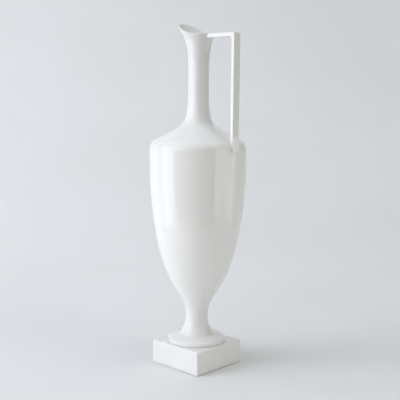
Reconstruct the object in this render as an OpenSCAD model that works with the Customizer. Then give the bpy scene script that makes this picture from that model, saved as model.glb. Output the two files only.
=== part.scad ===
// Amphora with a strap handle and a pouring lip, bolted down on a square plinth.
// Millimetres. Origin on the vessel's axis, on the surface that it stands on.
// +Z is up, the handle is towards +X and the pouring lip towards -X.

/* [Plinth] */
// Side of the square plinth
plinth_w = 84; // [82:1:100]
// Height of the plinth's top above the table
plinth_top = 31; // [30:1:34]
// Thickness of the plinth's side walls
plinth_wall = 5; // [4:0.5:7]
// Thickness of the plinth's top
plinth_roof = 6; // [5:0.5:7]
// Rounding of the plinth's edges
plinth_round = 1.2; // [0.6:0.1:2]
// Rounding of the plinth's bottom edges
plinth_foot_round = 0.3; // [0.3:0.1:2]
// Diameter of the hole for the bolt
bolt_hole_d = 9; // [7:0.5:11]
// Thickness of the felt sheet under the plinth
felt_h = 0.6; // [0.6:0.1:2.5]
// How far the felt sheet is set back from the plinth's sides
felt_inset = 1; // [0.8:0.1:3]

/* [Foot] */
// Radius of the round foot
foot_r = 38.2; // [36:0.1:39]
// Thickness of the gasket between foot and plinth
gasket_h = 0.4; // [0.3:0.1:1.5]
// Radius of the gasket
gasket_r = 37.4; // [32:0.1:37.4]
// Radius of the stem at its waist
waist_r = 14.85; // [14:0.05:17]
// Height of the joint between foot and body
stem_joint_z = 74; // [72:0.5:78]

/* [Body] */
// Largest radius of the body
belly_r = 63.6; // [60:0.1:64]
// Wall thickness of the body
body_wall = 4.5; // [3.5:0.1:5.5]
// Radius of the rolled edge of the shoulder
shoulder_r = 13.5; // [11:0.5:15]
// Slope of the shoulder, in degrees from level
shoulder_deg = 28.4; // [26:0.1:31]

/* [Neck] */
// Outer radius of the neck's slim part
neck_r = 13.65; // [13:0.05:15]
// Wall thickness of the neck
neck_wall = 3; // [2.5:0.1:3.5]
// Wall thickness at the lip
lip_wall = 2.1; // [1.8:0.1:2.6]
// Height of the rim beside the handle
rim_low_z = 435.4; // [435:0.1:438]

/* [Handle] */
// Width of the strap
strap_w = 11.7; // [9:0.1:14]
// Thickness of the upright
strap_t = 4.7; // [4:0.1:6]
// Thickness of the level part
strap_level_t = 4.7; // [4:0.1:5]
// Distance of the strap's outer face from the axis
strap_x = 65.3; // [64.6:0.1:67]
// Height of the strap's top face
strap_top = 434.9; // [432:0.1:435]

/* [Hidden] */
$fn = 96;
eps = 0.01;
big = 400;

foot_z = plinth_top + gasket_h;
roof_z = plinth_top - plinth_roof;

// Rounding of the plinth's inside corners
corner_r = 6;
// Rounding of the felt sheet's corners
felt_corner_r = 3;

// Stem socket: the body's spigot drops into the foot
spigot_r = 8.5;
spigot_len = 10.7;
socket_depth = 11;

// Hollow of the foot and the bolt set in it
foot_ring = 6;
stem_bore_r = 7.5;
stem_bore_top = 58;
bolt_r = 3;
bolt_head_af = 10;
bolt_head_h = 4;
bolt_head_z = 50;
bolt_end_z = 9.5;
boss_r = 17;
boss_h = 2.5;
cushion_h = 1.5;
plate_h = 1.5;
nut_h = 5;
hardware_z = roof_z - boss_h;

// Shoulder: a rolled edge, then a straight slope up to the neck joint
roll_z = 288.7;
collar_r = 25.6;
mouth_r = 20;
collar_t = 6.5;
roll_end = [belly_r - shoulder_r * (1 - sin(shoulder_deg)),
            roll_z + shoulder_r * cos(shoulder_deg)];
collar = [collar_r, roll_end[1] + (roll_end[0] - collar_r) * tan(shoulder_deg)];

// Flare of the mouth: straight from flare_z upwards
flare_z = 434;
flare_r = 20.6;
flare_deg = 59.8;
// Rim: level beside the handle, a curve, then a straight rise to the lip
rim_bend_x = 16;
rim_bend_r = 70;
rim_slope_deg = 26;

// One cubic curve through p0 and p3, shaped by p1 and p2
function curve(p0, p1, p2, p3, n) =
    [for (i = [0 : n]) let (t = i / n, s = 1 - t)
        s * s * s * p0 + 3 * s * s * t * p1 + 3 * s * t * t * p2 + t * t * t * p3];

// A step of length k in the direction deg
function step(k, deg) = k * [cos(deg), sin(deg)];

// Points of an arc round c
function arc(c, r, a0, a1, n) = [for (i = [0 : n]) c + step(r, a0 + (a1 - a0) * i / n)];

// A line of points moved to its left, by w0 at its start and w1 at its end
function inset(p, w0, w1) =
    [for (i = [0 : len(p) - 1])
        let (a = p[max(i - 1, 0)],
             b = p[min(i + 1, len(p) - 1)],
             d = (b - a) / norm(b - a),
             w = w0 + (w1 - w0) * i / (len(p) - 1))
        p[i] + w * [-d[1], d[0]]];

// The points with index a to b
function slice(p, a, b) = [for (i = [a : b]) p[i]];

waist = [waist_r, 67.5];
hip = [31.2, 105.2];
hip_deg = 58.6;
belly = [belly_r, 274.7];

// Outline of the waist and the lower body, up to the hip
hip_curve = curve(waist, waist + [0, 13.8], hip - step(16.2, hip_deg), hip, 24);
// Outline from the hip to the widest part
belly_curve = curve(hip, hip + step(42.8, hip_deg), belly - [0, 67], belly, 32);
// Outline of the rolled edge of the shoulder
roll_curve = arc([belly_r - shoulder_r, roll_z], shoulder_r, 0, 90 - shoulder_deg, 10);
// Outline from the shoulder slope into the neck
throat_curve = curve(collar, collar + step(11.2, 180 - shoulder_deg),
                     [neck_r, 334], [neck_r, 365.5], 20);
// Outline from the neck into the flare of the mouth
flare_curve = curve([neck_r, 370], [neck_r, 393.3],
                    [flare_r, flare_z] - step(16.3, flare_deg), [flare_r, flare_z], 20);
flare_tip = [flare_r, flare_z] + step(24, flare_deg);

// Number of points of the hip curve that lie below the stem joint
hip_cut = len([for (p = hip_curve) if (p[1] <= stem_joint_z) p]);

// Radius of the hip curve at the stem joint, between its nearest two points
stem_joint_r = let (a = hip_curve[hip_cut - 1], b = hip_curve[hip_cut])
    a[0] + (b[0] - a[0]) * (stem_joint_z - a[1]) / (b[1] - a[1]);

// A rectangle with rounded corners, centred
module rounded_rect(w, h, r) {
    square([w, h - 2 * r], center = true);
    square([w - 2 * r, h], center = true);
    for (x = [-1, 1], y = [-1, 1])
        translate([x * (w / 2 - r), y * (h / 2 - r)]) circle(r = r);
}

// Side view of the plinth, centred: top corners rounded by r, bottom corners by r_foot
module plinth_side(w, h, r, r_foot) {
    translate([0, (r_foot - r) / 2]) square([w, h - r - r_foot], center = true);
    translate([0, h / 4]) square([w - 2 * r, h / 2], center = true);
    translate([0, -h / 4]) square([w - 2 * r_foot, h / 2], center = true);
    for (x = [-1, 1]) {
        translate([x * (w / 2 - r), h / 2 - r]) circle(r = r);
        translate([x * (w / 2 - r_foot), r_foot - h / 2]) circle(r = r_foot);
    }
}

// A block with every edge rounded, standing on z0
module rounded_block(w, h, r, r_foot, z0) {
    translate([0, 0, z0 + h / 2])
        intersection() {
            linear_extrude(h, center = true) rounded_rect(w, w, r);
            rotate([90, 0, 0]) linear_extrude(w, center = true) plinth_side(w, h, r, r_foot);
            rotate([90, 0, 90]) linear_extrude(w, center = true) plinth_side(w, h, r, r_foot);
        }
}

// A ring with a square section
module ring(r_out, r_in, h) {
    difference() {
        cylinder(r = r_out, h = h);
        translate([0, 0, -1]) cylinder(r = r_in, h = h + 2);
    }
}

// Square slip-cast plinth, open underneath, with a boss round the bolt hole
module plinth() {
    inner = plinth_w - 2 * plinth_wall;
    color("gainsboro")
    difference() {
        rounded_block(plinth_w, plinth_top - felt_h, plinth_round, plinth_foot_round, felt_h);
        difference() {
            translate([0, 0, -1]) linear_extrude(roof_z + 1) rounded_rect(inner, inner, corner_r);
            translate([0, 0, hardware_z]) cylinder(r = boss_r, h = 50);
        }
        translate([0, 0, -1]) cylinder(d = bolt_hole_d, h = plinth_top + 2);
    }
}

// Hollow of the foot, open underneath and narrowing into the stem
module foot_hollow() {
    rim_r = foot_r - foot_ring;
    rotate_extrude()
        polygon(concat(
            [[0, foot_z - 1], [rim_r, foot_z - 1], [rim_r, foot_z]],
            curve([rim_r, foot_z], [rim_r, foot_z + 3], [20, 34.5], [14, 38], 8),
            curve([14, 38], [9, 41], [stem_bore_r, 45], [stem_bore_r, 50], 8),
            [[stem_bore_r, stem_bore_top], [0, stem_bore_top]]));
}

// Round foot: disc with a rounded edge, hollow curve and stem
module foot() {
    edge_r = 0.7;
    edge_top_z = 35;
    crease = [23.1, 41.1];
    color("white")
    difference() {
        rotate_extrude()
            polygon(concat(
                [[0, foot_z], [foot_r - edge_r, foot_z]],
                arc([foot_r - edge_r, foot_z + edge_r], edge_r, -80, 0, 8),
                curve([foot_r, edge_top_z], [foot_r, edge_top_z + 2.4],
                      crease + [5.4, -2.5], crease, 12),
                curve(crease, crease + step(10.7, 126), waist - [0, 10.4], waist, 16),
                slice(hip_curve, 1, hip_cut - 1),
                [[stem_joint_r, stem_joint_z], [0, stem_joint_z]]));
        foot_hollow();
        translate([0, 0, stem_joint_z - socket_depth])
            cylinder(r = spigot_r, h = socket_depth + 1);
    }
}

// Outer form of the body, solid, used to shape the handle's lower end too
module body_form() {
    rotate_extrude()
        polygon(concat(
            [[0, stem_joint_z], [stem_joint_r, stem_joint_z]],
            slice(hip_curve, hip_cut, len(hip_curve) - 1),
            slice(belly_curve, 1, len(belly_curve) - 1),
            roll_curve,
            [collar, [0, collar[1]]]));
}

// Inside of the body, from its round bottom to the mouth that takes the neck
module body_hollow() {
    inner_belly = inset(belly_curve, body_wall, body_wall);
    inner_roll = inset(roll_curve, body_wall, body_wall);
    start = inner_belly[0];
    slope_end = inner_roll[len(inner_roll) - 1];
    ledge_z = collar[1] - collar_t;
    ledge_r = slope_end[0] - (ledge_z - slope_end[1]) / tan(shoulder_deg);
    rotate_extrude()
        polygon(concat(
            curve([0, 88], [9, 88], start - step(13, hip_deg), start, 12),
            slice(inner_belly, 1, len(inner_belly) - 1),
            inner_roll,
            [[ledge_r, ledge_z], [mouth_r, ledge_z],
             [mouth_r, collar[1] + 1], [0, collar[1] + 1]]));
}

// Hollow body with a spigot for the foot and a mouth for the neck
module body() {
    color("whitesmoke")
    difference() {
        union() {
            body_form();
            translate([0, 0, stem_joint_z - spigot_len])
                cylinder(r = spigot_r, h = spigot_len + 1);
        }
        body_hollow();
    }
}

// Outer form of the neck, solid up to the widest part of the flare
module neck_form() {
    rotate_extrude()
        polygon(concat(
            [[0, collar[1]]],
            throat_curve,
            flare_curve,
            [flare_tip, [0, flare_tip[1]]]));
}

// Bore of the neck, widening at both ends
module neck_hollow() {
    bore = inset(flare_curve, neck_wall, lip_wall);
    tip = flare_tip + lip_wall * [-sin(flare_deg), cos(flare_deg)];
    foot_r_in = mouth_r - neck_wall;
    base_z = collar[1] - collar_t;
    rotate_extrude()
        polygon(concat(
            [[0, base_z - 1], [foot_r_in, base_z - 1]],
            curve([foot_r_in, base_z], [foot_r_in, base_z + 14],
                  [neck_r - neck_wall, 328], [neck_r - neck_wall, 360], 14),
            bore,
            [tip, tip + [0, 10], [0, tip[1] + 10]]));
}

// Everything above the slanted rim, seen from the side
module above_rim() {
    bend = [rim_bend_x, rim_low_z + rim_bend_r];
    rotate([90, 0, 0])
        linear_extrude(big, center = true)
            polygon(concat(
                [[big, rim_low_z]],
                arc(bend, rim_bend_r, 270, 270 - rim_slope_deg, 16),
                [bend + step(rim_bend_r, 270 - rim_slope_deg) + step(60, 180 - rim_slope_deg),
                 [-big, big * 3], [big, big * 3]]));
}

// Neck with its collar spigot, flared mouth and pouring lip
module neck() {
    color("ivory")
    difference() {
        union() {
            neck_form();
            translate([0, 0, collar[1] - collar_t])
                cylinder(r = mouth_r, h = collar_t + 1);
        }
        neck_hollow();
        above_rim();
    }
}

// Side view of the strap: level part, rounded corner and upright
module strap_outline() {
    outer_r = 2.4;
    inner_r = 4.5;
    base_z = 286.5;
    base_r = 2.2;
    in_x = strap_x - strap_t;
    under_z = strap_top - strap_level_t;
    polygon(concat(
        [[0, strap_top]],
        arc([strap_x - outer_r, strap_top - outer_r], outer_r, 90, 0, 8),
        arc([strap_x - base_r, base_z + base_r], base_r, 0, -90, 6),
        [[in_x - 4, base_z], [in_x - 4, 300], [in_x, 300]],
        arc([in_x - inner_r, under_z - inner_r], inner_r, 0, 90, 6),
        [[0, under_z]]));
}

// Strap handle, trimmed to sit on the neck and on the shoulder
module handle() {
    color("snow")
    difference() {
        rotate([90, 0, 0])
            linear_extrude(strap_w, center = true)
                strap_outline();
        neck_form();
        body_form();
    }
}

// Soft ring between the foot and the plinth
module seat_gasket() {
    color("saddlebrown")
    translate([0, 0, plinth_top]) ring(gasket_r, bolt_hole_d / 2 + 2, gasket_h);
}

// Hexagon by its distance across flats
module hexagon(af, h) {
    cylinder(d = af / cos(30), h = h, $fn = 6);
}

// Bolt, head up
module bolt() {
    color("silver") {
        translate([0, 0, bolt_end_z]) cylinder(r = bolt_r, h = bolt_head_z - bolt_end_z + eps);
        translate([0, 0, bolt_head_z]) hexagon(bolt_head_af, bolt_head_h);
    }
}

// Hard plug cast round the bolt in the hollow of the foot
module setting_plug() {
    color("tan")
    difference() {
        intersection() {
            foot_hollow();
            translate([0, 0, foot_z]) cylinder(r = foot_r, h = 100);
        }
        translate([0, 0, foot_z - 1]) cylinder(r = bolt_r, h = 60);
        translate([0, 0, bolt_head_z]) hexagon(bolt_head_af, bolt_head_h);
        translate([0, 0, bolt_head_z + bolt_head_h - eps]) cylinder(r = 4, h = 100);
    }
}

// Soft washer against the ceramic
module cushion_washer() {
    color("dimgray")
    translate([0, 0, hardware_z - cushion_h]) ring(14, bolt_r + 0.5, cushion_h);
}

// Wide steel washer
module plate_washer() {
    color("lightsteelblue")
    translate([0, 0, hardware_z - cushion_h - plate_h]) ring(12, bolt_r + 0.2, plate_h);
}

// Hexagon nut
module nut() {
    top = hardware_z - cushion_h - plate_h;
    color("darkgray")
    translate([0, 0, top - nut_h])
        difference() {
            hexagon(bolt_head_af, nut_h);
            translate([0, 0, -1]) cylinder(r = bolt_r + 0.02, h = nut_h + 2);
        }
}

// Felt sheet glued under the plinth, over its hollow
module base_felt() {
    w = plinth_w - 2 * felt_inset;
    color("black")
    linear_extrude(felt_h) rounded_rect(w, w, felt_corner_r);
}

plinth();
foot();
body();
neck();
handle();
seat_gasket();
setting_plug();
bolt();
cushion_washer();
plate_washer();
nut();
base_felt();
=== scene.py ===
import math

import bmesh
import bpy
import numpy as np
from mathutils import Matrix, Vector


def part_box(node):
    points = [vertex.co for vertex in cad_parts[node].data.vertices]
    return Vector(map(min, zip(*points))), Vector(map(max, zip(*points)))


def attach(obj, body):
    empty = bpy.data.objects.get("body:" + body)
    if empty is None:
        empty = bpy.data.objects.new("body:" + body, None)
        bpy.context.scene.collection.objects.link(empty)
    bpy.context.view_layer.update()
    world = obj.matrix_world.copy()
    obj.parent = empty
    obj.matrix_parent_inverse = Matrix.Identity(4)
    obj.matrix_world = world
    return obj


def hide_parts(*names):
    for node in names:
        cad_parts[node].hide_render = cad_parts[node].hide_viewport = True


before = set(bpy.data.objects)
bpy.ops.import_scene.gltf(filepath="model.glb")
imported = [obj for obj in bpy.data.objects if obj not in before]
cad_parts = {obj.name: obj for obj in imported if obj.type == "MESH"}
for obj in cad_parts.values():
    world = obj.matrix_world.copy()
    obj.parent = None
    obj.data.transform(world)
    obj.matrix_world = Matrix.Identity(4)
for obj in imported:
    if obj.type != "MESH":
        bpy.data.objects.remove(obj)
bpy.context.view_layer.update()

MM = 0.001

# ---------------------------------------------------------------------------
# Sizes, in millimetres. Those that a CAD node's box gives are read from it; the
# others repeat the CAD's own dimensions or belong to the visual model alone.
# ---------------------------------------------------------------------------


def low(node):
    """The lowest corner of a CAD node, in millimetres."""
    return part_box(node)[0] / MM


def high(node):
    """The highest corner of a CAD node, in millimetres."""
    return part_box(node)[1] / MM


PLINTH_W = high("plinth").x - low("plinth").x
PLINTH_BASE = low("plinth").z
PLINTH_TOP = high("plinth").z
PLINTH_WALL = 5.0
PLINTH_ROOF = 6.0
PLINTH_ROUND = 1.3
PLINTH_FOOT_ROUND = 0.3
PLINTH_CORNER = PLINTH_ROUND + 0.4
PLINTH_INNER_CORNER = 6.0
PLINTH_ROOF_FILLET = 2.0
PLINTH_RIM_SOFT = 0.6
BOLT_HOLE_R = 4.5
BOSS_R = 17.0
BOSS_H = 2.5
BOSS_SOFT = 0.8

FOOT_Z = low("foot").z
FOOT_R = high("foot").x
STEM_JOINT_Z = high("foot").z
FOOT_RING = 6.0
FOOT_EDGE_R = 0.7
FOOT_EDGE_TOP = 35.0
STEM_BORE_R = 7.5
STEM_BORE_TOP = 58.0
STEM_BORE_END = 50
SPIGOT_R = 8.5
SPIGOT_BASE = low("body").z
SOCKET_DEPTH = 11

BELLY_R = high("body").x
COLLAR_Z = high("body").z
COLLAR_R = 25.6
BODY_WALL = 4.5
BODY_FLOOR_Z = 88
SHOULDER_R = 13.5
SHOULDER_DEG = 28.4
ROLL_Z = 288.7
MOUTH_R = 20.0
COLLAR_T = 6.5

NECK_R = 13.65
NECK_WALL = 3.0
LIP_WALL = 2.1
NECK_BASE = low("neck").z
FLARE_Z = 434.0
FLARE_R = 20.6
FLARE_DEG = 59.8
RIM_LOW_Z = 435.4
RIM_BEND_X = 16.0
RIM_BEND_R = 70.0
RIM_SLOPE_DEG = 26.0
RIM_SOFT = 0.9
RIM_LEAN = 0.25
FLARE_REACH = 24
EVEN_FROM_Z = 385.0

STRAP_W = high("handle").y - low("handle").y
STRAP_X = high("handle").x
STRAP_TOP = high("handle").z
STRAP_BASE = low("handle").z
STRAP_T = 4.7
STRAP_LEVEL_T = 4.7
STRAP_OUTER_R = 2.4
STRAP_INNER_R = 4.5
STRAP_BASE_R = 2.4

HEX_ACROSS_FLATS = 10.0
HEX_CHAMFER_H = 0.9
HEX_CHAMFER_R = 0.96 * HEX_ACROSS_FLATS / 2
HEX_CHAMFER_SLOPE = 1.75
NUT_BORE_R = 2.75
NUT_BORE_SOFT = 0.5
BOLT_R = 3.0
BOLT_HEAD_H = 4.0
THREAD_TOP = 40.0
PITCH = 1.0
THREAD_DEPTH = 0.55
THREAD_FADE = 1.2
BOLT_TIP_CHAMFER = 0.7

FELT_SOFT = 0.25
FELT_CORNER = 3.0

# ---------------------------------------------------------------------------
# Outlines, as lists of (radius, height)
# ---------------------------------------------------------------------------


def step(length, deg):
    """A step in a direction given in degrees."""
    a = math.radians(deg)
    return np.array([math.cos(a), math.sin(a)]) * length


def curve(p0, p1, p2, p3, n):
    """One cubic curve from p0 to p3, as n + 1 points."""
    t = np.linspace(0, 1, n + 1)[:, None]
    s = 1 - t
    p0, p1, p2, p3 = (np.asarray(p, float) for p in (p0, p1, p2, p3))
    return s**3 * p0 + 3 * s * s * t * p1 + 3 * s * t * t * p2 + t**3 * p3


def arc(centre, radius, deg0, deg1, n):
    """An arc round centre, as n + 1 points."""
    a = np.radians(np.linspace(deg0, deg1, n + 1))
    return np.asarray(centre, float) + radius * np.stack([np.cos(a), np.sin(a)], 1)


def inset(points, w0, w1):
    """The points moved to their left, by w0 at the start and w1 at the end."""
    ahead = np.vstack([points[1:], points[-1:]])
    behind = np.vstack([points[:1], points[:-1]])
    d = ahead - behind
    d /= np.linalg.norm(d, axis=1)[:, None]
    w = np.linspace(w0, w1, len(points))[:, None]
    return points + w * np.stack([-d[:, 1], d[:, 0]], 1)


def join(*parts):
    """Outline pieces end to end, with doubled points dropped."""
    points = np.vstack([np.atleast_2d(np.asarray(p, float)) for p in parts])
    gap = np.linalg.norm(np.diff(points, axis=0), axis=1)
    return points[np.concatenate([[True], gap > 1e-4])]


WAIST = np.array([14.85, 67.5])
HIP = np.array([31.2, 105.2])
HIP_DEG = 58.6
BELLY = np.array([BELLY_R, 274.7])
ROLL_C = np.array([BELLY_R - SHOULDER_R, ROLL_Z])
ROLL_END = ROLL_C + step(SHOULDER_R, 90 - SHOULDER_DEG)
COLLAR = np.array([COLLAR_R, COLLAR_Z])
CREASE = np.array([23.1, 41.1])

hip_curve = curve(WAIST, WAIST + [0, 13.8], HIP - step(16.2, HIP_DEG), HIP, 48)
belly_curve = curve(HIP, HIP + step(42.8, HIP_DEG), BELLY - [0, 67], BELLY, 70)
roll_curve = arc(ROLL_C, SHOULDER_R, 0, 90 - SHOULDER_DEG, 26)
throat_curve = curve(COLLAR, COLLAR + step(11.2, 180 - SHOULDER_DEG),
                     [NECK_R, 334], [NECK_R, 365.5], 48)
flare_curve = curve([NECK_R, 370], [NECK_R, 393.3],
                    np.array([FLARE_R, FLARE_Z]) - step(16.3, FLARE_DEG),
                    [FLARE_R, FLARE_Z], 40)
flare_tip = np.array([FLARE_R, FLARE_Z]) + step(FLARE_REACH, FLARE_DEG)


def split_at(points, z):
    """The point of a rising outline at height z, and the points above it."""
    r = np.interp(z, points[:, 1], points[:, 0])
    return np.array([r, z]), points[points[:, 1] > z + 1e-3]


stem_joint, hip_above = split_at(hip_curve, STEM_JOINT_Z)
hip_below = hip_curve[hip_curve[:, 1] < STEM_JOINT_Z - 1e-3]
outer_line = join(
    hip_above, belly_curve, roll_curve, throat_curve, flare_curve, flare_tip)

# ---------------------------------------------------------------------------
# Mesh helpers
# ---------------------------------------------------------------------------


def add_mesh(name, verts, faces, smooth_deg=40):
    """A new object from points in millimetres and faces, with soft shading."""
    mesh = bpy.data.meshes.new(name)
    points = [tuple(v) for v in np.asarray(verts) * MM]
    mesh.from_pydata(points, [], [tuple(f) for f in faces])
    mesh.validate()
    bm = bmesh.new()
    bm.from_mesh(mesh)
    bmesh.ops.remove_doubles(bm, verts=bm.verts, dist=1e-7)
    bmesh.ops.recalc_face_normals(bm, faces=bm.faces)
    bm.to_mesh(mesh)
    bm.free()
    mesh.polygons.foreach_set("use_smooth", [True] * len(mesh.polygons))
    mesh.set_sharp_from_angle(angle=math.radians(smooth_deg))
    mesh.update()
    ob = bpy.data.objects.new(name, mesh)
    bpy.context.scene.collection.objects.link(ob)
    return ob


def loft(loops, closed):
    """Points and quads through loops of equal length. closed joins the last to the first."""
    n = len(loops[0])
    verts = np.vstack(loops)
    faces = []
    pairs = [(i, i + 1) for i in range(len(loops) - 1)]
    if closed:
        pairs.append((len(loops) - 1, 0))
    for a, b in pairs:
        for j in range(n):
            k = (j + 1) % n
            faces.append((a * n + j, a * n + k, b * n + k, b * n + j))
    return verts, faces


def angles(n):
    """n equal steps round a full turn, in radians."""
    return np.arange(n) * 2 * math.pi / n


def ring(a, r, z):
    """A ring with one point at each angle a. r and z are single values or lists."""
    return np.stack([r * np.cos(a), r * np.sin(a), np.full(len(a), z)], 1)


def circle_loop(r, z, n):
    """A round ring of n points at one height."""
    return ring(angles(n), r, z)


def turned(name, outline, n=224, smooth_deg=40):
    """A solid turned from a closed outline of (radius, height)."""
    loops = [circle_loop(max(r, 0), z, n) for r, z in outline]
    verts, faces = loft(loops, closed=True)
    return add_mesh(name, verts, faces, smooth_deg)


# ---------------------------------------------------------------------------
# Materials
# ---------------------------------------------------------------------------


def new_material(name, roughness, colour):
    """A material, its node tree and its Principled shader."""
    mat = bpy.data.materials.new(name)
    mat.use_nodes = True
    tree = mat.node_tree
    shader = tree.nodes["Principled BSDF"]
    shader.inputs["Roughness"].default_value = roughness
    shader.inputs["Base Color"].default_value = (*colour, 1)
    mat.diffuse_color = (*colour, 1)
    return mat, tree, shader


def noise(tree, scale, detail=3.0, rough=0.5, distortion=0.0, stretch=(1, 1, 1)):
    """A noise texture in the object's own coordinates. scale is per metre."""
    coord = tree.nodes.new("ShaderNodeTexCoord")
    place = tree.nodes.new("ShaderNodeMapping")
    place.inputs["Scale"].default_value = stretch
    tex = tree.nodes.new("ShaderNodeTexNoise")
    tex.inputs["Scale"].default_value = scale
    tex.inputs["Detail"].default_value = detail
    tex.inputs["Roughness"].default_value = rough
    tex.inputs["Distortion"].default_value = distortion
    tree.links.new(coord.outputs["Object"], place.inputs["Vector"])
    tree.links.new(place.outputs["Vector"], tex.inputs["Vector"])
    return tex.outputs["Fac"]


def ramp(tree, value, stops):
    """A colour ramp on value. stops are (position, colour)."""
    node = tree.nodes.new("ShaderNodeValToRGB")
    bits = node.color_ramp.elements
    while len(bits) < len(stops):
        bits.new(0.5)
    for bit, (at, colour) in zip(bits, stops):
        bit.position = at
        bit.color = (*colour, 1)
    tree.links.new(value, node.inputs["Fac"])
    return node.outputs["Color"]


def spread(tree, value, lo, hi, out_lo, out_hi):
    """value mapped from lo..hi to out_lo..out_hi."""
    node = tree.nodes.new("ShaderNodeMapRange")
    node.inputs["From Min"].default_value = lo
    node.inputs["From Max"].default_value = hi
    node.inputs["To Min"].default_value = out_lo
    node.inputs["To Max"].default_value = out_hi
    tree.links.new(value, node.inputs["Value"])
    return node.outputs["Result"]


def add_bump(tree, shader, layers):
    """Bump from (height value, depth in metres) layers, one after the other."""
    last = None
    for value, depth in layers:
        bump = tree.nodes.new("ShaderNodeBump")
        bump.inputs["Strength"].default_value = 1.0
        bump.inputs["Distance"].default_value = depth
        tree.links.new(value, bump.inputs["Height"])
        if last is not None:
            tree.links.new(last, bump.inputs["Normal"])
        last = bump.outputs["Normal"]
    tree.links.new(last, shader.inputs["Normal"])


def glaze(name, warm, cool, rough_lo, rough_hi, ripple):
    """White glaze with faint patches of colour, uneven gloss and a slow ripple."""
    mat, tree, shader = new_material(name, rough_lo, cool)
    patches = noise(tree, 18, 3, 0.5)
    tree.links.new(ramp(tree, patches, [(0.38, warm), (0.62, cool)]),
                   shader.inputs["Base Color"])
    film = noise(tree, 60, 4, 0.55)
    tree.links.new(spread(tree, film, 0.35, 0.65, rough_lo, rough_hi),
                   shader.inputs["Roughness"])
    shader.inputs["IOR"].default_value = 1.52
    slow = noise(tree, 22, 2, 0.4)
    fine = noise(tree, 420, 2, 0.5)
    add_bump(tree, shader, [(slow, ripple), (fine, ripple * 0.02)])
    return mat


vessel_mat = glaze("vessel_glaze", (0.865, 0.86, 0.835), (0.885, 0.88, 0.855),
                   0.03, 0.05, 0.00012)
plinth_mat = glaze("plinth_glaze", (0.855, 0.845, 0.815), (0.875, 0.865, 0.84),
                   0.16, 0.24, 0.0004)

plaster_mat, tree, shader = new_material("plaster", 0.85, (0.75, 0.72, 0.66))
grit = noise(tree, 500, 6, 0.6)
tree.links.new(ramp(tree, grit, [(0.3, (0.62, 0.59, 0.53)), (0.7, (0.8, 0.78, 0.72))]),
               shader.inputs["Base Color"])
add_bump(tree, shader, [(grit, 0.0003)])

steel_mat, tree, shader = new_material("steel", 0.35, (0.55, 0.55, 0.53))
shader.inputs["Metallic"].default_value = 1.0
stain = noise(tree, 260, 4, 0.6)
tree.links.new(ramp(tree, stain, [(0.3, (0.42, 0.41, 0.39)), (0.7, (0.62, 0.62, 0.6))]),
               shader.inputs["Base Color"])
tree.links.new(spread(tree, stain, 0.3, 0.7, 0.28, 0.5), shader.inputs["Roughness"])
scratch = noise(tree, 1500, 3, 0.6, 0, (1, 1, 0.1))
add_bump(tree, shader, [(scratch, 0.00004)])

silicone_mat, tree, shader = new_material("silicone", 0.45, (0.72, 0.72, 0.7))
haze = noise(tree, 300, 4, 0.6)
tree.links.new(ramp(tree, haze, [(0.35, (0.66, 0.66, 0.64)), (0.65, (0.74, 0.74, 0.72))]),
               shader.inputs["Base Color"])
tree.links.new(spread(tree, haze, 0.3, 0.7, 0.35, 0.55), shader.inputs["Roughness"])
add_bump(tree, shader, [(haze, 0.00005)])

felt_mat, tree, shader = new_material("felt", 0.95, (0.62, 0.6, 0.56))
fibre = noise(tree, 2200, 4, 0.7, 1.2)
tree.links.new(ramp(tree, fibre, [(0.3, (0.45, 0.43, 0.4)), (0.7, (0.74, 0.72, 0.68))]),
               shader.inputs["Base Color"])
add_bump(tree, shader, [(fibre, 0.0004)])


def dress(ob, mat, slot, *nodes):
    """Gives a piece its material and its body, and hides the CAD nodes it stands for. slot is
    not used.
    """
    ob.data.materials.clear()
    ob.data.materials.append(mat)
    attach(ob, "root")
    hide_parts(*nodes)


# ---------------------------------------------------------------------------
# Foot
# ---------------------------------------------------------------------------

foot_rim = FOOT_R - FOOT_RING
foot_inside = join(
    [STEM_BORE_R, STEM_BORE_TOP],
    curve([STEM_BORE_R, STEM_BORE_END], [STEM_BORE_R, 45], [9, 41], [14, 38], 12),
    curve([14, 38], [20, 34.5], [foot_rim, FOOT_Z + 3], [foot_rim, FOOT_Z], 12))
foot_outside = join(
    arc([FOOT_R - FOOT_EDGE_R, FOOT_Z + FOOT_EDGE_R], FOOT_EDGE_R, -90, 0, 14),
    curve([FOOT_R, FOOT_EDGE_TOP], [FOOT_R, FOOT_EDGE_TOP + 2.4],
          CREASE + [5.4, -2.5], CREASE, 28),
    curve(CREASE, CREASE + step(10.7, 126), WAIST - [0, 10.4], WAIST, 36),
    hip_below, stem_joint)
socket_z = STEM_JOINT_Z - SOCKET_DEPTH
foot = turned("foot_shell", join(
    foot_outside, [SPIGOT_R, STEM_JOINT_Z], [SPIGOT_R, socket_z], [0, socket_z],
    [0, STEM_BORE_TOP], foot_inside))
dress(foot, vessel_mat, "vessel_glaze", "foot")

# ---------------------------------------------------------------------------
# Body
# ---------------------------------------------------------------------------

inner_belly = inset(belly_curve, BODY_WALL, BODY_WALL)
inner_roll = inset(roll_curve, BODY_WALL, BODY_WALL)
ledge_z = COLLAR_Z - COLLAR_T
roll_r, roll_z = inner_roll[-1]
ledge_r = roll_r - (ledge_z - roll_z) / math.tan(math.radians(SHOULDER_DEG))
start = inner_belly[0]
body_inside = join(
    curve([0, BODY_FLOOR_Z], [9, BODY_FLOOR_Z], start - step(13, HIP_DEG), start, 24),
    inner_belly, inner_roll, [ledge_r, ledge_z], [MOUTH_R, ledge_z])
cone = np.linspace(ROLL_END, COLLAR, 30)
body = turned("body_shell", join(
    [0, SPIGOT_BASE], [SPIGOT_R, SPIGOT_BASE], [SPIGOT_R, STEM_JOINT_Z], stem_joint,
    hip_above, belly_curve, roll_curve, cone, [MOUTH_R, COLLAR_Z], body_inside[::-1]),
    smooth_deg=20)
dress(body, vessel_mat, "vessel_glaze", "body")

# ---------------------------------------------------------------------------
# Neck: a turned tube whose top end follows the slanted rim
# ---------------------------------------------------------------------------


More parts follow.
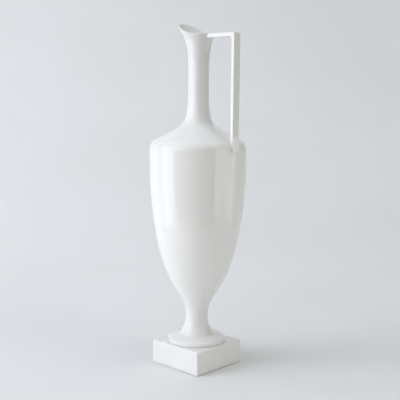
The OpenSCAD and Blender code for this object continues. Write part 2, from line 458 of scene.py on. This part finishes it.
def rim_height(x):
    """Height of the rim at a distance x from the axis, towards the handle."""
    drop = min(max(RIM_BEND_X - x, 0.0), RIM_BEND_R * math.sin(math.radians(RIM_SLOPE_DEG)))
    z = RIM_LOW_Z + RIM_BEND_R - math.sqrt(RIM_BEND_R**2 - drop**2)
    straight = max(RIM_BEND_X - x - drop, 0.0)
    return z + straight * math.tan(math.radians(RIM_SLOPE_DEG))


neck_line = join(throat_curve, flare_curve, flare_tip)
neck_bore = join(
    curve([MOUTH_R - NECK_WALL, NECK_BASE], [MOUTH_R - NECK_WALL, NECK_BASE + 14],
          [NECK_R - NECK_WALL, 328], [NECK_R - NECK_WALL, 360], 30),
    inset(join(flare_curve, flare_tip), NECK_WALL, LIP_WALL))


def radius_at(line, z):
    """Radius of a rising outline at height z."""
    return np.interp(z, line[:, 1], line[:, 0])


def neck_column(angle):
    """Outline of the neck at one angle: up the outside, round the lip, down the bore.

    Above EVEN_FROM_Z the points are spaced evenly up to the rim at that angle.
    """
    rim = RIM_LOW_Z
    for _ in range(30):
        rim = 0.5 * rim + 0.5 * rim_height(radius_at(neck_line, rim) * math.cos(angle))
    top = rim - RIM_SOFT
    up = neck_line[neck_line[:, 1] < EVEN_FROM_Z]
    zs = EVEN_FROM_Z + (top - EVEN_FROM_Z) * np.linspace(0, 1, 36)
    outer = np.stack([radius_at(neck_line, zs), zs], 1)
    inner = np.stack([radius_at(neck_bore, zs), zs], 1)
    a, b = outer[-1], inner[-1]
    mid = (a + b) / 2
    half = (a - b) / 2
    turn = np.linspace(0, math.pi, 11)[1:-1]
    crown = np.array([RIM_LEAN, RIM_SOFT])
    lip = mid + np.cos(turn)[:, None] * half + np.sin(turn)[:, None] * crown
    down = neck_bore[neck_bore[:, 1] < EVEN_FROM_Z][::-1]
    return join(up, outer, lip, inner[::-1], down)


NECK_STEPS = 224
neck_angles = angles(NECK_STEPS)
columns = np.stack([neck_column(a) for a in neck_angles], 1)
neck_loops = [ring(neck_angles, row[:, 0], row[:, 1]) for row in columns]
neck_loops.append(circle_loop(MOUTH_R, NECK_BASE, NECK_STEPS))
neck_loops.append(circle_loop(MOUTH_R, COLLAR_Z, NECK_STEPS))
neck = add_mesh("neck_shell", *loft(neck_loops, closed=True))
dress(neck, vessel_mat, "vessel_glaze", "neck")

# ---------------------------------------------------------------------------
# Handle: the zero surface of a distance field, so that the glaze runs into the
# neck and the shoulder in small fillets
# ---------------------------------------------------------------------------

STRAP_SOFT = 0.5
FILLET = 0.7
SKIN_DEPTH = 0.35
CELL = 0.55
SETTLE_ROUNDS = 6
SETTLE_LIMIT = 0.3
GRID_START_X = 10.0
GRID_ABOVE = 3.5
GRID_BELOW = 4
GRID_BESIDE = 3.2
GRID_BEYOND = 1.2

line_slope = np.gradient(outer_line[:, 0], outer_line[:, 1])


def vessel_field(p):
    """Distance from the vessel's outer surface, positive outside, near the surface."""
    r = np.hypot(p[..., 0], p[..., 1])
    z = p[..., 2]
    line_r = np.interp(z, outer_line[:, 1], outer_line[:, 0])
    slope = np.interp(z, outer_line[:, 1], line_slope)
    return (r - line_r) / np.sqrt(1 + slope * slope)


def both(a, b, r):
    """Distance from the overlap of two regions, with an edge of radius r."""
    a = a + r
    b = b + r
    outside = np.hypot(np.maximum(a, 0), np.maximum(b, 0))
    return outside + np.minimum(np.maximum(a, b), 0) - r


def quadrant(x, z, corner_x, corner_z, r):
    """Distance from the region left of corner_x and below corner_z, with a round corner."""
    return both(x - corner_x, z - corner_z, r)


def strap_field(p):
    """Distance from the strap handle, positive outside."""
    x, y, z = p[..., 0], p[..., 1], p[..., 2]
    outer = quadrant(x, z, STRAP_X, STRAP_TOP, STRAP_OUTER_R)
    inner = quadrant(x, z, STRAP_X - STRAP_T, STRAP_TOP - STRAP_LEVEL_T, STRAP_INNER_R)
    under = quadrant(x, -z, STRAP_X, -STRAP_BASE, STRAP_BASE_R)
    side = np.maximum(np.maximum(outer, -inner), under)
    wide = np.abs(y) - STRAP_W / 2
    return both(side, wide, STRAP_SOFT)


def blended(p):
    """The strap and the vessel joined by a fillet."""
    a = strap_field(p)
    b = vessel_field(p)
    h = np.maximum(FILLET - np.abs(a - b), 0) / FILLET
    return np.minimum(a, b) - h * h * FILLET / 4


def handle_field(p):
    """The strap with its fillets, cut off just under the vessel's surface."""
    skin = -(vessel_field(p) + SKIN_DEPTH)
    reach = strap_field(p) - (FILLET - SKIN_DEPTH)
    return np.maximum(np.maximum(blended(p), skin), reach)


def field_mesh(field, lo, hi, cell):
    """Quads over the zero surface of a field: one point in each cell that it crosses."""
    axes = [np.arange(a, b + cell, cell) for a, b in zip(lo, hi)]
    grid = np.stack(np.meshgrid(*axes, indexing="ij"), -1)
    value = field(grid)
    inside = value < 0
    shape = np.array(inside.shape) - 1
    total = np.zeros((*shape, 3))
    count = np.zeros(shape)
    corner = [slice(0, -1), slice(1, None)]
    for axis in range(3):
        for i in (0, 1):
            for j in (0, 1):
                pick0 = [None] * 3
                pick0[axis] = corner[0]
                others = [k for k in range(3) if k != axis]
                pick0[others[0]] = corner[i]
                pick0[others[1]] = corner[j]
                pick1 = list(pick0)
                pick1[axis] = corner[1]
                pick0, pick1 = tuple(pick0), tuple(pick1)
                v0, v1 = value[pick0], value[pick1]
                cross = (v0 < 0) != (v1 < 0)
                t = np.where(cross, v0 / np.where(cross, v0 - v1, 1), 0)
                point = grid[pick0] + t[..., None] * (grid[pick1] - grid[pick0])
                total += np.where(cross[..., None], point, 0)
                count += cross
    used = count > 0
    index = np.full(tuple(shape), -1)
    index[used] = np.arange(used.sum())
    verts = total[used] / count[used][:, None]
    faces = []
    for axis in range(3):
        others = [k for k in range(3) if k != axis]
        pick0 = [slice(1, -1)] * 3
        pick0[axis] = slice(0, -1)
        pick1 = list(pick0)
        pick1[axis] = slice(1, None)
        a, b = inside[tuple(pick0)], inside[tuple(pick1)]
        spots = np.argwhere(a != b)
        for spot in spots:
            cell_at = spot.copy()
            cell_at[others[0]] += 1
            cell_at[others[1]] += 1
            quad = []
            for di, dj in ((0, 0), (1, 0), (1, 1), (0, 1)):
                c = cell_at.copy()
                c[others[0]] -= 1 - di
                c[others[1]] -= 1 - dj
                quad.append(index[tuple(c)])
            if min(quad) >= 0:
                faces.append(quad)
    return verts, faces


def settle(verts, field):
    """Moves points onto the zero surface of a field."""
    d = 0.01
    verts = verts.copy()
    for _ in range(SETTLE_ROUNDS):
        grad = np.zeros_like(verts)
        for k in range(3):
            e = np.zeros(3)
            e[k] = d
            grad[:, k] = (field(verts + e) - field(verts - e)) / (2 * d)
        size = np.maximum((grad**2).sum(1), 0.2)
        move = -(field(verts) / size)[:, None] * grad
        verts += np.clip(move, -SETTLE_LIMIT, SETTLE_LIMIT)
    return verts


grid_lo = np.array([GRID_START_X, -STRAP_W / 2 - GRID_BESIDE, STRAP_BASE - GRID_BELOW])
grid_hi = np.array([STRAP_X + GRID_BEYOND, STRAP_W / 2 + GRID_BESIDE, STRAP_TOP + GRID_ABOVE])
verts, faces = field_mesh(handle_field, grid_lo, grid_hi, CELL)
verts = settle(verts, handle_field)
handle = add_mesh("handle_strap", verts, faces, 180)
dress(handle, vessel_mat, "vessel_glaze", "handle")

# ---------------------------------------------------------------------------
# Plinth: rings of a rounded square, from the bottom edge over the top, down the
# bolt hole, round the boss and back down the inside
# ---------------------------------------------------------------------------

SIDE_STEPS = 16
CORNER_STEPS = 10


def square_loop(half, corner, z):
    """A level ring along a square with round corners."""
    points = []
    flat = half - corner
    for turn in range(4):
        a = math.radians(90 * turn)
        c, s = math.cos(a), math.sin(a)
        edge = [(half, y) for y in np.linspace(-flat, flat, SIDE_STEPS + 1)[:-1]]
        bend = [(flat + corner * math.cos(t), flat + corner * math.sin(t))
                for t in np.linspace(0, math.pi / 2, CORNER_STEPS + 1)[:-1]]
        points += [(c * x - s * y, s * x + c * y, z) for x, y in edge + bend]
    return np.array(points)


def round_loop(r, z):
    """A level ring along a circle, with its points facing those of a square ring."""
    square = square_loop(1.0, 0.3, 0)
    return ring(np.arctan2(square[:, 1], square[:, 0]), r, z)


def grown_loop(half, z, side, corner):
    """A square ring whose corners keep the centres that they have at half = side."""
    return square_loop(half, corner + half - side, z)


def blend_loop(a, b, t):
    """A ring between two rings."""
    return a + (b - a) * t


HALF = PLINTH_W / 2
ROOF_Z = PLINTH_TOP - PLINTH_ROOF
INNER = HALF - PLINTH_WALL
wall_z = np.linspace(PLINTH_BASE + PLINTH_FOOT_ROUND, PLINTH_TOP - PLINTH_ROUND, 6)[1:-1]
outer_outline = join(
    arc([HALF - PLINTH_FOOT_ROUND, PLINTH_BASE + PLINTH_FOOT_ROUND],
        PLINTH_FOOT_ROUND, -90, 0, 5),
    [[HALF, z] for z in wall_z],
    arc([HALF - PLINTH_ROUND, PLINTH_TOP - PLINTH_ROUND], PLINTH_ROUND, 0, 90, 6))
outer_loops = [grown_loop(r, z, HALF, PLINTH_CORNER) for r, z in outer_outline]
edge = outer_loops[-1]
hole_top = round_loop(BOLT_HOLE_R, PLINTH_TOP)
top_loops = [blend_loop(edge, hole_top, t) for t in np.linspace(0, 1, 9)[1:]]
boss_z = ROOF_Z - BOSS_H
under_loops = [
    round_loop(BOLT_HOLE_R, boss_z),
    round_loop(BOSS_R - BOSS_SOFT, boss_z),
    round_loop(BOSS_R, boss_z + BOSS_SOFT),
    round_loop(BOSS_R, ROOF_Z - BOSS_SOFT),
    round_loop(BOSS_R + BOSS_SOFT, ROOF_Z)]
inner_outline = join(
    arc([INNER - PLINTH_ROOF_FILLET, ROOF_Z - PLINTH_ROOF_FILLET],
        PLINTH_ROOF_FILLET, 90, 0, 5),
    [INNER, PLINTH_BASE + PLINTH_RIM_SOFT],
    [INNER + PLINTH_RIM_SOFT, PLINTH_BASE])
inner_loops = [grown_loop(r, z, INNER, PLINTH_INNER_CORNER) for r, z in inner_outline]
under_loops += [blend_loop(under_loops[-1], inner_loops[0], t) for t in (0.33, 0.66)]
under_loops += inner_loops
plinth_loops = outer_loops + top_loops + under_loops
plinth = add_mesh("plinth_block", *loft(plinth_loops, closed=True), 50)
dress(plinth, plinth_mat, "plinth_glaze", "plinth")

# ---------------------------------------------------------------------------
# Fixing hardware
# ---------------------------------------------------------------------------


def washer(name, node, r_in, soft, mat, slot):
    """A flat ring with soft edges in the place of a CAD ring."""
    r_out = high(node).x
    z0, z1 = low(node).z, high(node).z
    outline = join(
        arc([r_out - soft, z0 + soft], soft, -90, 0, 4),
        arc([r_out - soft, z1 - soft], soft, 0, 90, 4),
        arc([r_in + soft, z1 - soft], soft, 90, 180, 4),
        arc([r_in + soft, z0 + soft], soft, 180, 270, 4))
    dress(turned(name, outline, 96, 60), mat, slot, node)


washer("seat_gasket_ring", "seat_gasket", 6.5, 0.2, silicone_mat, "silicone")
washer("cushion_ring", "cushion_washer", 3.5, 0.4, silicone_mat, "silicone")
washer("plate_ring", "plate_washer", 3.2, 0.25, steel_mat, "steel")


def hex_radius(a):
    """Distance from the centre to the hexagon's side in direction a."""
    return HEX_ACROSS_FLATS / 2 / math.cos((a + math.pi / 6) % (math.pi / 3) - math.pi / 6)


def hex_nut(name, z0, z1):
    """A hexagon with turned-down corners at both ends, and a bore with soft ends."""
    rise = np.linspace(0, 1, 8) * HEX_CHAMFER_H
    middle = np.linspace(z0 + HEX_CHAMFER_H, z1 - HEX_CHAMFER_H, 4)[1:-1]
    heights = np.concatenate([z0 + rise, middle, z1 - rise[::-1]])
    steps = 96
    a = angles(steps) + math.pi / steps
    side = np.array([hex_radius(x - math.pi / 6) for x in a])
    loops = []
    for z in heights:
        turned_r = HEX_CHAMFER_R + min(z - z0, z1 - z) * HEX_CHAMFER_SLOPE
        loops.append(ring(a, np.minimum(side, turned_r), z))
    wide_r = NUT_BORE_R + NUT_BORE_SOFT
    for z, r in ((z1, wide_r), (z1 - NUT_BORE_SOFT, NUT_BORE_R),
                 (z0 + NUT_BORE_SOFT, NUT_BORE_R), (z0, wide_r)):
        loops.append(ring(a, r, z))
    return add_mesh(name, *loft(loops, closed=True), 30)


nut = hex_nut("hex_nut", low("nut").z, high("nut").z)
dress(nut, steel_mat, "steel", "nut")

BOLT_STEPS = 48
bolt_angles = angles(BOLT_STEPS)
bolt_z0 = low("bolt").z
bolt_z1 = high("bolt").z


def thread_loops(z0, z1):
    """Rings of a shank with a thread that fades out at both ends, and a tapered tip."""
    loops = []
    for z in np.arange(z0, z1, PITCH / 8):
        phase = (z / PITCH - bolt_angles / (2 * math.pi)) % 1.0
        ridge = np.clip(1.6 * np.abs(2 * phase - 1) - 0.3, 0, 1)
        fade = min(1.0, (z - z0) / THREAD_FADE, (z1 - z) / THREAD_FADE)
        r = BOLT_R - THREAD_DEPTH * (1 - ridge) * max(fade, 0.0)
        if z - z0 < BOLT_TIP_CHAMFER:
            r = np.minimum(r, BOLT_R - BOLT_TIP_CHAMFER + (z - z0))
        loops.append(ring(bolt_angles, r, z))
    return loops


head_z = bolt_z1 - BOLT_HEAD_H
head_side = np.array([hex_radius(x) for x in bolt_angles])
bolt_loops = [circle_loop(0, bolt_z0, BOLT_STEPS)]
bolt_loops += thread_loops(bolt_z0, THREAD_TOP)
bolt_loops += [circle_loop(BOLT_R, z, BOLT_STEPS) for z in (THREAD_TOP, head_z)]
# The head's corners are turned down at both ends: each height has its widest radius,
# as a share of half the width across the flats
for z, share in ((head_z, 0.96), (head_z + 0.3, 1.02), (bolt_z1 - 0.9, 2.0),
                 (bolt_z1 - 0.4, 1.08), (bolt_z1, 0.94)):
    bolt_loops.append(ring(bolt_angles, np.minimum(head_side, HEX_ACROSS_FLATS / 2 * share), z))
bolt_loops.append(circle_loop(0, bolt_z1, BOLT_STEPS))
bolt = add_mesh("set_bolt", *loft(bolt_loops, closed=False), 30)
dress(bolt, steel_mat, "steel", "bolt")

felt_lo, felt_hi = low("base_felt"), high("base_felt")
felt_flat = felt_hi.x * 0.97
felt_outline = join(
    [felt_flat, felt_lo.z],
    arc([felt_hi.x - FELT_SOFT, felt_lo.z + FELT_SOFT], FELT_SOFT, -90, 0, 4),
    arc([felt_hi.x - FELT_SOFT, felt_hi.z - FELT_SOFT], FELT_SOFT, 0, 90, 4),
    [felt_flat, felt_hi.z])
felt_loops = [grown_loop(r, z, felt_hi.x, FELT_CORNER) for r, z in felt_outline]
felt_steps = len(felt_loops[0])
felt_loops.insert(0, circle_loop(0, felt_lo.z, felt_steps))
felt_loops.append(circle_loop(0, felt_hi.z, felt_steps))
felt = add_mesh("felt_sheet", *loft(felt_loops, closed=False), 60)
dress(felt, felt_mat, "felt", "base_felt")

# The plug keeps its CAD mesh, which is hidden in the foot, and takes only a material
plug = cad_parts["setting_plug"]
plug.data.materials.clear()
plug.data.materials.append(plaster_mat)

# ---------------------------------------------------------------------------
# Floor, light and camera
# ---------------------------------------------------------------------------

CAM_AZIMUTH = math.radians(43.94)
CAM_DISTANCE = 1.007
CAM_HEIGHT = 0.3515
CAM_TILT = math.radians(7.387)
CAM_PAN = math.radians(0.17)
CAM_ROLL = math.radians(0.488)
CAM_LENS = 69.2

back = Vector((math.sin(CAM_AZIMUTH), -math.cos(CAM_AZIMUTH), 0))
side = Vector((math.cos(CAM_AZIMUTH), math.sin(CAM_AZIMUTH), 0))
up = Vector((0, 0, 1))
ahead = math.cos(CAM_PAN) * -back + math.sin(CAM_PAN) * side
right = ahead.cross(up)
look = math.cos(CAM_TILT) * ahead - math.sin(CAM_TILT) * up
over = math.cos(CAM_TILT) * up + math.sin(CAM_TILT) * ahead
right, over = (math.cos(CAM_ROLL) * right + math.sin(CAM_ROLL) * over,
               math.cos(CAM_ROLL) * over - math.sin(CAM_ROLL) * right)
cam_data = bpy.data.cameras.new("camera")
cam_data.lens = CAM_LENS
cam_data.sensor_width = 36
cam = bpy.data.objects.new("camera", cam_data)
turn = Matrix((right, over, -look)).transposed().to_4x4()
cam.matrix_world = Matrix.Translation(back * CAM_DISTANCE + up * CAM_HEIGHT) @ turn
bpy.context.scene.collection.objects.link(cam)
bpy.context.scene.camera = cam


def place(angle, distance, height):
    """A point seen from the vessel: angle in degrees to the camera's left, metres out."""
    a = math.radians(angle)
    flat = back * math.cos(a) - side * math.sin(a)
    return flat * distance + up * height


TABLE_FRONT = 0.38
TABLE_LEFT = 0.48
TABLE_RIGHT = 0.64
WALL_LEFT = 0.8
WALL_RIGHT = 0.9
SWEEP_START = 0.2
SWEEP_END = 1.4
SWEEP_TOP = 1.2
SWEEP_RUN = 0.3
SWEEP_LEAN = 0.1
SWEEP_RISE = 0.25
SPREAD_END = 0.9
WALL_TOP = 1.7
FLOOR_COLUMNS = 9


def across(out, at_table, at_wall):
    """Half width of the paper at a distance behind the vessel, between table and wall."""
    t = min(max((out - SWEEP_START) / (SPREAD_END - SWEEP_START), 0.0), 1.0)
    return at_table + (at_wall - at_table) * t


floor_line = join(
    [[out, 0.0] for out in np.linspace(-TABLE_FRONT, SWEEP_START, 8)],
    curve([SWEEP_START, 0], [SWEEP_START + SWEEP_RUN, 0],
          [SWEEP_END - SWEEP_LEAN, SWEEP_RISE], [SWEEP_END, SWEEP_TOP], 40),
    [SWEEP_END, WALL_TOP])
floor_points = []
for out, z in floor_line:
    left_edge = -across(out, TABLE_LEFT, WALL_LEFT)
    right_edge = across(out, TABLE_RIGHT, WALL_RIGHT)
    for x in np.linspace(left_edge, right_edge, FLOOR_COLUMNS):
        floor_points.append(side * x - back * out + up * z)
floor_faces = [(FLOOR_COLUMNS * i + j, FLOOR_COLUMNS * i + j + 1,
                FLOOR_COLUMNS * (i + 1) + j + 1, FLOOR_COLUMNS * (i + 1) + j)
               for i in range(len(floor_line) - 1) for j in range(FLOOR_COLUMNS - 1)]
floor_data = bpy.data.meshes.new("floor")
floor_data.from_pydata([tuple(p) for p in floor_points], [], floor_faces)
floor_data.polygons.foreach_set("use_smooth", [True] * len(floor_data.polygons))
floor = bpy.data.objects.new("floor", floor_data)
bpy.context.scene.collection.objects.link(floor)
floor_mat, tree, shader = new_material("floor_paint", 0.6, (0.8, 0.8, 0.8))
mottle = noise(tree, 3, 3, 0.5)
tree.links.new(ramp(tree, mottle, [(0.4, (0.795, 0.8, 0.79)), (0.6, (0.815, 0.818, 0.81))]),
               shader.inputs["Base Color"])
shader.inputs["Specular IOR Level"].default_value = 0.2
floor_data.materials.append(floor_mat)

# The room: a dark place with a soft bright ceiling and a faint glow in front, which
# the lens itself sees as plain pale grey
ROOM_CEILING = 0.58
ROOM_FRONT = 0.11
ROOM_SEEN = 0.72
ROOM_COLOUR = (0.97, 1.0, 1.03)
CEILING_LOBE = (0.5, 0.9)
FRONT_LOBE = (0.55, 0.85)


def room_lobe(tree, axis, lobe, strength):
    """Brightness that grows to strength between two cosines of the angle to axis."""
    coord = tree.nodes.new("ShaderNodeTexCoord")
    dot = tree.nodes.new("ShaderNodeVectorMath")
    dot.operation = "DOT_PRODUCT"
    dot.inputs[1].default_value = axis
    tree.links.new(coord.outputs["Generated"], dot.inputs[0])
    node = tree.nodes.new("ShaderNodeMapRange")
    node.interpolation_type = "SMOOTHSTEP"
    node.inputs["From Min"].default_value = lobe[0]
    node.inputs["From Max"].default_value = lobe[1]
    node.inputs["To Max"].default_value = strength
    tree.links.new(dot.outputs["Value"], node.inputs["Value"])
    return node.outputs["Result"]


world = bpy.data.worlds.new("world")
world.use_nodes = True
tree = world.node_tree
total = tree.nodes.new("ShaderNodeMath")
tree.links.new(room_lobe(tree, up, CEILING_LOBE, ROOM_CEILING), total.inputs[0])
tree.links.new(room_lobe(tree, back, FRONT_LOBE, ROOM_FRONT), total.inputs[1])
seen = tree.nodes.new("ShaderNodeLightPath")
pick = tree.nodes.new("ShaderNodeMix")
pick.inputs["B"].default_value = ROOM_SEEN
tree.links.new(seen.outputs["Is Camera Ray"], pick.inputs["Factor"])
tree.links.new(total.outputs["Value"], pick.inputs["A"])
tree.links.new(pick.outputs["Result"], tree.nodes["Background"].inputs["Strength"])
tree.nodes["Background"].inputs["Color"].default_value = (*ROOM_COLOUR, 1)
bpy.context.scene.world = world
bpy.context.scene.view_settings.view_transform = "Standard"

LIGHT_DISTANCE = 2.0
CEILING_Z = 2.2


def soft_light(name, at, aim, width, tall, radiance, colour, mirrored):
    """A rectangular light of even brightness that the camera doesn't see."""
    data = bpy.data.lights.new(name, "AREA")
    data.shape = "RECTANGLE"
    data.size = width
    data.size_y = tall
    data.energy = radiance * width * tall * math.pi
    data.color = colour
    ob = bpy.data.objects.new(name, data)
    ob.location = at
    ob.rotation_mode = "QUATERNION"
    ob.rotation_quaternion = (aim - at).to_track_quat("-Z", "Y")
    ob.visible_camera = False
    ob.visible_glossy = mirrored
    bpy.context.scene.collection.objects.link(ob)
    return ob


def upright(name, left, right, low_z, high_z, radiance, colour, mirrored=True):
    """An upright light that fills the angles from left to right, seen from the vessel."""
    angle = (left + right) / 2
    width = 2 * LIGHT_DISTANCE * math.tan(math.radians(left - right) / 2)
    z = (low_z + high_z) / 2
    soft_light(name, place(angle, LIGHT_DISTANCE, z), place(angle, 0, z),
               width, high_z - low_z, radiance, colour, mirrored)


def overhead(name, right_by, back_by, width, tall, radiance, colour):
    """A level light under the ceiling, moved to the right and to the back, not mirrored."""
    at = side * right_by - back * back_by + up * CEILING_Z
    ob = soft_light(name, at, at - up, width, tall, radiance, colour, mirrored=False)
    ob.rotation_quaternion = Matrix((side, -back, up)).transposed().to_quaternion()


DAYLIGHT = (0.955, 0.985, 1.07)
SHADE = (0.94, 0.985, 1.1)
SKYLIGHT = (0.92, 0.995, 1.12)
NEUTRAL = (1.0, 1.0, 1.0)
WARM = (1.03, 1.0, 0.92)

upright("window", 90, 57, -0.6, 1.6, 2.5, DAYLIGHT)
upright("window_wash", 95, 62, 0.25, 1.6, 2.5, SHADE, mirrored=False)
upright("window_front", 57, 32, 0.3, 1.0, 1.8, WARM)
upright("curtain_low", 150, 90, -0.6, 0.2, 0.8, SHADE)
upright("curtain", 150, 90, 0.2, 0.8, 0.45, NEUTRAL)
upright("card_low", -40, -97, -0.6, 0.2, 1.6, NEUTRAL)
upright("card", -40, -70, 0.2, 1.6, 1.5, WARM)
upright("corner", -97, -130, -0.6, 0.2, 0.4, WARM)
upright("fill_low", 57, 0, -0.6, 0.2, 0.9, WARM, mirrored=False)
upright("table_bounce", 60, -40, -1.6, -0.6, 0.3, WARM, mirrored=False)
overhead("ceiling", -0.65, -0.15, 2.6, 1.1, 1.6, SKYLIGHT)
overhead("ceiling_right", 1.3, 0.0, 1.2, 1.2, 1.0, WARM)

bpy.context.view_layer.update()
